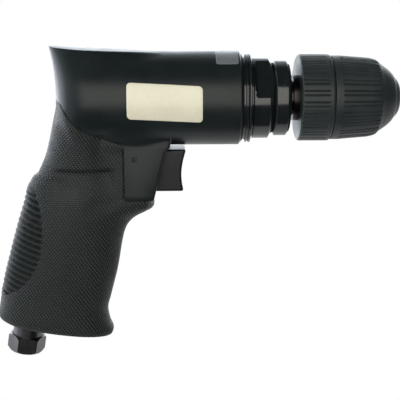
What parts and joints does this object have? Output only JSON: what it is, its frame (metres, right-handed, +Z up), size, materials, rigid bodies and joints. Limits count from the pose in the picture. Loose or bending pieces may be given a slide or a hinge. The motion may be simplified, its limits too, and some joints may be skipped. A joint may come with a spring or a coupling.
{
  "type": "air drill",
  "caption": "Pistol-grip air drill with a keyless chuck, turning sleeve and jaws, a sliding trigger, a reversing lever, a rubber grip and a threaded air inlet in the handle.",
  "frame": {"origin": "centre of the chuck's mouth, on the spindle axis", "axes": "+X out of the chuck along the spindle, +Y the tool's left side, +Z up"},
  "size_m": [0.2058, 0.0469, 0.1607],
  "materials": {
    "housing_plastic": "fine moulded satin",
    "grip_rubber": "knurled matt",
    "name_sticker": "satin",
    "grey_sticker": "satin",
    "black_metal": "gloss black",
    "seal_rubber": "matt",
    "bearing_steel": "polished",
    "machined_steel": "ground",
    "cast_iron": "machined",
    "vane_composite": "laminated",
    "dark_steel": "oiled",
    "black_screw": "blackened",
    "chuck_plastic": "satin moulded",
    "trigger_plastic": "satin",
    "brass": "machined",
    "spring_steel": "drawn wire",
    "inlet_steel": "blackened",
    "felt": "felt"
  },
  "bodies": {
    "body": {"housing": "housing_plastic", "grip_sleeve": "grip_rubber", "name_plate": "name_sticker", "side_label": "grey_sticker", "gear_case": "black_metal", "bearing_cap": "black_metal", "shaft_seal": "seal_rubber", "spindle_bearing_outers": "bearing_steel", "ring_gear": "machined_steel", "cylinder_liner": "cast_iron", "rear_end_plate": "cast_iron", "front_end_plate": "cast_iron", "dowel_pin": "machined_steel", "rear_bearing_outer": "bearing_steel", "front_bearing_outer": "bearing_steel", "trigger_pin": "machined_steel", "valve_bushing": "brass", "valve_seal": "seal_rubber", "valve_spring": "spring_steel", "inlet_bushing": "inlet_steel", "inlet_screen": "brass", "silencer": "felt", "exhaust_plate": "trigger_plastic", "plate_screws": "black_screw"},
    "spindle": {"spindle": "machined_steel", "planet_pins": "machined_steel", "spindle_bearing_inners": "bearing_steel", "bearing_spacer": "machined_steel", "chuck_body": "dark_steel", "chuck_screw": "black_screw", "rear_sleeve": "chuck_plastic"},
    "rotor": {"rotor": "machined_steel", "vanes": "vane_composite", "rear_bearing_inner": "bearing_steel", "front_bearing_inner": "bearing_steel"},
    "rotor_balls": {"rotor_bearing_balls": "bearing_steel"},
    "spindle_balls": {"spindle_bearing_balls": "bearing_steel"},
    "planet_1": {"planet_gear_1": "machined_steel"},
    "planet_2": {"planet_gear_2": "machined_steel"},
    "planet_3": {"planet_gear_3": "machined_steel"},
    "front_sleeve": {"front_sleeve": "chuck_plastic", "jaw_nut": "machined_steel"},
    "jaw_1": {"chuck_jaw_1": "dark_steel"},
    "jaw_2": {"chuck_jaw_2": "dark_steel"},
    "jaw_3": {"chuck_jaw_3": "dark_steel"},
    "trigger": {"trigger": "trigger_plastic", "valve_stem": "machined_steel"},
    "reverse_lever": {"reverse_valve": "brass", "reverse_lever": "trigger_plastic", "lever_screw": "black_screw"}
  },
  "joints": [
    {"name": "spindle_spin", "type": "hinge", "parent": "body", "child": "spindle", "pos_m": [-0.09, 0, 0], "axis": [1, 0, 0], "continuous": true},
    {"name": "rotor_spin", "type": "hinge", "parent": "body", "child": "rotor", "pos_m": [-0.09, 0, 0], "axis": [1, 0, 0], "continuous": true},
    {"name": "rotor_balls_spin", "type": "hinge", "parent": "body", "child": "rotor_balls", "pos_m": [-0.09, 0, 0], "axis": [1, 0, 0], "continuous": true},
    {"name": "spindle_balls_spin", "type": "hinge", "parent": "body", "child": "spindle_balls", "pos_m": [-0.09, 0, 0], "axis": [1, 0, 0], "continuous": true},
    {"name": "planet_1_spin", "type": "hinge", "parent": "spindle", "child": "planet_1", "pos_m": [-0.09, 0, 0.0096], "axis": [1, 0, 0], "continuous": true},
    {"name": "planet_2_spin", "type": "hinge", "parent": "spindle", "child": "planet_2", "pos_m": [-0.09, -0.00831, -0.0048], "axis": [1, 0, 0], "continuous": true},
    {"name": "planet_3_spin", "type": "hinge", "parent": "spindle", "child": "planet_3", "pos_m": [-0.09, 0.00831, -0.0048], "axis": [1, 0, 0], "continuous": true},
    {"name": "sleeve_turn", "type": "hinge", "parent": "spindle", "child": "front_sleeve", "pos_m": [-0.02, 0, 0], "axis": [1, 0, 0], "range_deg": [-975, 1300]},
    {"name": "jaw_1_slide", "type": "slide", "parent": "spindle", "child": "jaw_1", "axis": [0.9397, 0, -0.342], "range_m": [-0.00435, 0.0058]},
    {"name": "jaw_2_slide", "type": "slide", "parent": "spindle", "child": "jaw_2", "axis": [0.9397, 0.2962, 0.171], "range_m": [-0.00435, 0.0058]},
    {"name": "jaw_3_slide", "type": "slide", "parent": "spindle", "child": "jaw_3", "axis": [0.9397, -0.2962, 0.171], "range_m": [-0.00435, 0.0058]},
    {"name": "trigger_pull", "type": "slide", "parent": "body", "child": "trigger", "axis": [-1, 0, 0], "range_m": [0, 0.005], "stiffness_N_per_m": 1500, "springref_m": -0.003, "deforming": ["valve_spring"]},
    {"name": "reverse_turn", "type": "hinge", "parent": "body", "child": "reverse_lever", "pos_m": [-0.1492, 0, -0.0251], "axis": [0, 1, 0], "range_deg": [-25, 25]}
  ],
  "couplings": [
    {"joint": "rotor_spin", "follows": "spindle_spin", "ratio": 5.3333},
    {"joint": "rotor_balls_spin", "follows": "spindle_spin", "ratio": 1.984},
    {"joint": "spindle_balls_spin", "follows": "spindle_spin", "ratio": 0.4234},
    {"joint": "planet_1_spin", "follows": "spindle_spin", "ratio": -2.6},
    {"joint": "planet_2_spin", "follows": "spindle_spin", "ratio": -2.6},
    {"joint": "planet_3_spin", "follows": "spindle_spin", "ratio": -2.6},
    {"joint": "jaw_1_slide", "follows": "sleeve_turn", "m_per_rad": 0.00025465},
    {"joint": "jaw_2_slide", "follows": "sleeve_turn", "m_per_rad": 0.00025465},
    {"joint": "jaw_3_slide", "follows": "sleeve_turn", "m_per_rad": 0.00025465}
  ]
}
